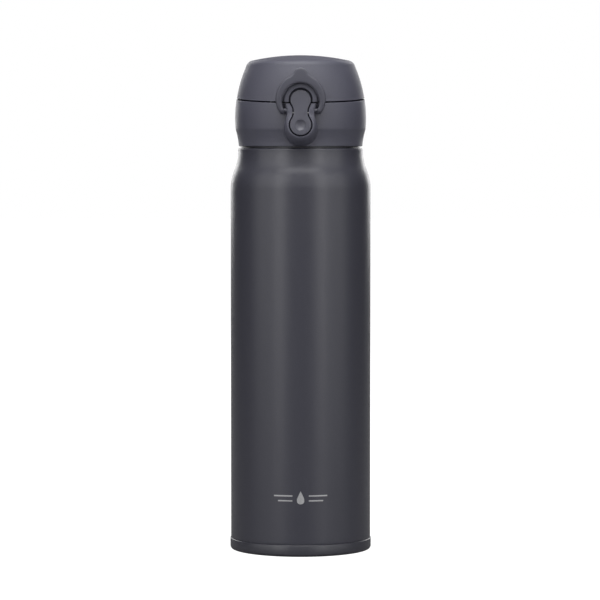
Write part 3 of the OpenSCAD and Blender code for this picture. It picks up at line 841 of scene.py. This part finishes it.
def horn():
    """Upper half of the button's frame: a half ring with a rounded face."""
    bm = bmesh.new()
    back = -29.6
    front = HINGE_Y - HORN_REACH
    corners = [(HORN_IN_R, back), (HORN_IN_R, front), (FRAME_R, front), (FRAME_R, back)]
    ring = [bm.verts.new((r * MM, y * MM, HORN_Z * MM)) for r, y in corners]
    edges = [bm.edges.new(pair) for pair in zip(ring, ring[1:] + ring[:1])]
    bmesh.ops.spin(bm, geom=ring + edges, cent=(0, 0, HORN_Z * MM), axis=(0, 1, 0), angle=2 * pi,
                   steps=96, use_merge=True)
    bmesh.ops.remove_doubles(bm, verts=bm.verts, dist=1e-6)
    bmesh.ops.recalc_face_normals(bm, faces=bm.faces)
    for radius, round_r, segments in ((FRAME_R, 0.75, 5), (HORN_IN_R, 0.35, 3)):
        rim = [e for e in bm.edges
               if all(abs(v.co.y / MM - front) < 0.01 for v in e.verts)
               and all(abs(sqrt(v.co.x ** 2 + (v.co.z - HORN_Z * MM) ** 2) / MM - radius) < 0.02
                       for v in e.verts)]
        bmesh.ops.bevel(bm, geom=rim, offset=round_r * MM, segments=segments, profile=0.5,
                        affect="EDGES", material=-1)
    for v in bm.verts:
        dz = v.co.z / MM - HINGE_Z
        if v.co.y / MM < -32:
            v.co.y += (HORN_REACH - sqrt(HORN_REACH ** 2 - dz * dz)) * MM
    cut = bmesh.ops.bisect_plane(
        bm, geom=bm.verts[:] + bm.edges[:] + bm.faces[:], dist=1e-7,
        plane_co=(0, 0, (SEAM_Z + SEAM_GAP / 2) * MM), plane_no=seam_normal, clear_inner=True)
    rim = [e for e in cut["geom_cut"] if isinstance(e, bmesh.types.BMEdge)]
    bmesh.ops.holes_fill(bm, edges=rim)
    bmesh.ops.recalc_face_normals(bm, faces=bm.faces)
    bmesh.ops.bevel(bm, geom=[e for e in rim if e.is_valid], offset=0.2 * MM, segments=3,
                    profile=0.5, affect="EDGES", material=-1)
    return bm


# The lid's colour is a painted shade darker than the collar's, for its top faces the overhead lamp.
lid_plastic = moulded("lid_plastic", (0.052, 0.052, 0.072), 0.54)
lid = solid("lid_shell_moulded", tip_rim(turned(lid_profile, 224), 236, LID_RIM_Z + 1.2), 30)
carve(lid, solid("horn_helper", horn()), "UNION")
carve(lid, rod("knuckle", (0, HINGE_Y, HINGE_Z), KNUCKLE_HALF, KNUCKLE_R, 64, 0.35), "UNION")
low, high = (-KNUCKLE_HALF, HINGE_Y - 2.4, HINGE_Z), (KNUCKLE_HALF, HINGE_Y + 2, HINGE_Z + 5.6)
carve(lid, block("web", low, high, 0.8), "UNION")
for sign in (-1, 1):
    carve(lid, rod("ear_room", (sign * (KNUCKLE_HALF + 2.06), HINGE_Y, HINGE_Z), 2.05, KNUCKLE_R + 0.4))
carve(lid, rod("pin_room", (0, HINGE_Y, HINGE_Z), KNUCKLE_HALF + 1, PIN_R + 0.05, 48))
carve(lid, rod("spring_room", (0, HINGE_Y, HINGE_Z), 4.5, 2.55, 48))
fit_out(lid, "lid", lid_plastic, "lid_plastic", "lid_shell")

# ---------------------------------------------------------------- Lid liner and lid gasket
# The dark inner moulding pressed into the lid, with a stem that carries the silicone disc
# that shuts the mouthpiece.

liner_profile = (
    [(7.6, 226.9), (10.0, 226.9), (10.2, 227.1), (10.2, 235.0)]
    + arc(10.8, 235.0, 0.6, 180, 90, 4)
    + [(23.4, 235.6)]
    + arc(23.4, 235.0, 0.6, 90, 0, 4)
    + [(24.4, 231.3)]
    + arc(25.2, 231.5, 0.5, 200, 360, 6)
    + [(26.0, 236.8), (25.5, 237.4), (0, 237.4), (0, 235.6), (8.4, 235.6), (8.4, 228.6), (7.6, 228.6)]
)
liner = solid("lid_liner_moulded", turned(liner_profile, 128), 35)
fit_out(liner, "lid", inner_plastic, "inner_plastic", "lid_liner")

pad_profile = (
    [(0, 224.9), (7.0, 224.9)]
    + arc(7.2, 225.3, 0.4, -90, -20, 4)
    + [(8.4, 225.5), (9.6, 225.4)]
    + arc(9.8, 225.8, 0.4, -90, 0, 4)
    + [(10.2, 226.8), (7.4, 226.8), (7.4, 228.7), (8.2, 229.1), (8.2, 229.6), (6.8, 229.6)]
    + [(6.4, 226.6), (0, 226.6)]
)
lid_gasket = solid("lid_gasket_moulded", turned(pad_profile, 96), 40)
fit_out(lid_gasket, "lid", seal_rubber, "silicone", "lid_gasket")

# ---------------------------------------------------------------- Pins and springs
# Drawn steel pins for the lid and the button, the lid's torsion spring inside the knuckle and
# the button's return spring.

pin_steel = bare_steel("pin_steel", 0.45)
hinge_pin = rod("hinge_pin_drawn", (0, HINGE_Y, HINGE_Z), EAR_HALF - 0.1, PIN_R, 48, 0.3)
fit_out(hinge_pin, "cap", pin_steel, "pin_steel", "hinge_pin")
refinish("button_pin", pin_steel)
spring_wire = bare_steel("spring_wire", 0.3)
refinish("lid_spring", spring_wire)
refinish("button_spring", spring_wire)

# ---------------------------------------------------------------- Lock ring
# The bail that swings up round the frame: a smooth moulded ring with a thumb tab on top and
# thickened ends whose studs snap into the sides of the frame.

RING_R = 12.14
RING_IN_R = 9.1
RING_IN_Z = 221.65
RING_Z = 222.95
RING_REACH = 66.1
RING_END_X = 7.95
RING_END_R = 1.9


def ring_columns():
    """Pairs of an outer and an inner point, from the right end over the tab to the left end."""
    low = degrees(asin((RING_Z - STUD_Z + RING_END_R) / RING_R))
    side = arc(0, RING_Z, RING_R, -low, 57, 40)
    tab = arc(0, 234.6, 3.6, 14, 90, 14)
    half = side + bend_between(side[-1], (4.7, 234.1), tab[0], 8) + tab
    outer = half + [(-x, z) for x, z in half[-2::-1]]
    turn_in = -acos(RING_END_X / RING_IN_R)
    pairs = []
    for x, z in outer:
        a = atan2(z - RING_IN_Z, abs(x))
        reach = (RING_IN_R * cos(a), RING_IN_Z + RING_IN_R * sin(a)) if a > turn_in else (RING_END_X, z)
        pairs.append(((x, z), (reach[0] if x > 0 else -reach[0], reach[1])))
    pairs[len(half) - 1] = ((0, outer[len(half) - 1][1]), (0, RING_IN_Z + RING_IN_R))
    return pairs


def ring_front(z):
    """Where the ring's front lies at a height: nearly upright, rounded under at the ends."""
    if z > STUD_Z:
        return -36.3 + 0.005 * (z - 223) ** 2
    return STUD_Y - 2.5 * sqrt(max(0.0, 1 - ((STUD_Z - z) / RING_END_R) ** 2))


def ring_back(x, z):
    """Where its back lies: clear of the path of the lid's horn near the middle."""
    if z < STUD_Z:
        return STUD_Y + 1.45 * sqrt(max(0.0, 1 - ((STUD_Z - z) / RING_END_R) ** 2))
    path = HINGE_Y - 0.06 - sqrt(RING_REACH ** 2 - (z - HINGE_Z) ** 2)
    side = min(1.0, max(0.0, (abs(x) - 8.75) / 0.9))
    return path + (-32.2 - path) * side


def ring_band():
    """The ring: a strip of faces given thickness, rounded, then bent to its side profile."""
    bm = bmesh.new()
    strip = [[bm.verts.new((x * MM, 0, z * MM)) for x, z in pair] for pair in ring_columns()]
    faces = [bm.faces.new((a[0], b[0], b[1], a[1])) for a, b in zip(strip, strip[1:])]
    grown = bmesh.ops.extrude_face_region(bm, geom=faces)
    far = [v for v in grown["geom"] if isinstance(v, bmesh.types.BMVert)]
    bmesh.ops.translate(bm, verts=far, vec=(0, -3.2 * MM, 0))
    bmesh.ops.recalc_face_normals(bm, faces=bm.faces)
    rims = [e for e in bm.edges if abs(e.verts[0].co.y - e.verts[1].co.y) < 1e-7
            and e.calc_face_angle(0) > 0.8]
    bmesh.ops.bevel(bm, geom=rims, offset=1.05 * MM, segments=5, profile=0.5, affect="EDGES",
                    material=-1)
    for v in bm.verts:
        x, z = v.co.x / MM, v.co.z / MM
        back, front = ring_back(x, z), ring_front(z)
        v.co.y = (back + (front - back) * v.co.y / (-3.2 * MM)) * MM
    bmesh.ops.recalc_face_normals(bm, faces=bm.faces)
    return bm


# The latch's colour is a painted shade darker still, for the button's face leans up into the lamps.
latch_plastic = moulded("latch_plastic", (0.043, 0.043, 0.059), 0.46, 0.000006)
lock_ring = solid("lock_ring_moulded", ring_band(), 40)
for sign in (-1, 1):
    carve(lock_ring, rod("stud", (sign * 6.8, STUD_Y, STUD_Z), 2.0, STUD_R, 32, 0.2), "UNION")
fit_out(lock_ring, "ring", latch_plastic, "latch_plastic", "lock_ring")

# ---------------------------------------------------------------- Push button
# A keyhole rocker, moulded with softly rounded edges and a dimple for the thumb at its lower
# end. Its upper end is thinned at the back to stay clear of the lid's path.

BUTTON_T = 2.4
BUTTON_REACH = 63.7
DIMPLE_R = 2.75


def button_body():
    trim = 0.06
    outline = keyhole(BUTTON_TOP[0], BUTTON_TOP[1] - trim, BUTTON_LOW[0], BUTTON_LOW[1] - trim,
                      BUTTON_WAIST - trim)
    bm = bmesh.new()
    face = bm.faces.new([bm.verts.new(on_face(u, v, 0)) for u, v in outline])
    grown = bmesh.ops.extrude_face_region(bm, geom=[face])
    back = [v for v in grown["geom"] if isinstance(v, bmesh.types.BMVert)]
    for v in back:
        v.co -= OUT * BUTTON_T * MM
        limit = HINGE_Y - sqrt(BUTTON_REACH ** 2 - (v.co.z / MM - HINGE_Z) ** 2)
        v.co.y = min(v.co.y, limit * MM)
    bmesh.ops.recalc_face_normals(bm, faces=bm.faces)
    rim = [e for e in bm.edges if all(abs((v.co / MM - FACE).dot(OUT)) < 0.01 for v in e.verts)]
    bmesh.ops.bevel(bm, geom=rim, offset=0.35 * MM, segments=4, profile=0.5, affect="EDGES", material=-1)
    return bm


button = solid("open_button_moulded", button_body(), 40)
ball_bm = bmesh.new()
bmesh.ops.create_uvsphere(ball_bm, u_segments=64, v_segments=48, radius=4.5 * MM)
bmesh.ops.translate(ball_bm, verts=ball_bm.verts,
                    vec=on_face(0, BUTTON_LOW[0] - 0.2, sqrt(4.5 ** 2 - DIMPLE_R ** 2)))
carve(button, solid("dimple", ball_bm))
fit_out(button, "button", latch_plastic, "latch_plastic", "open_button")

low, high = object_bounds()
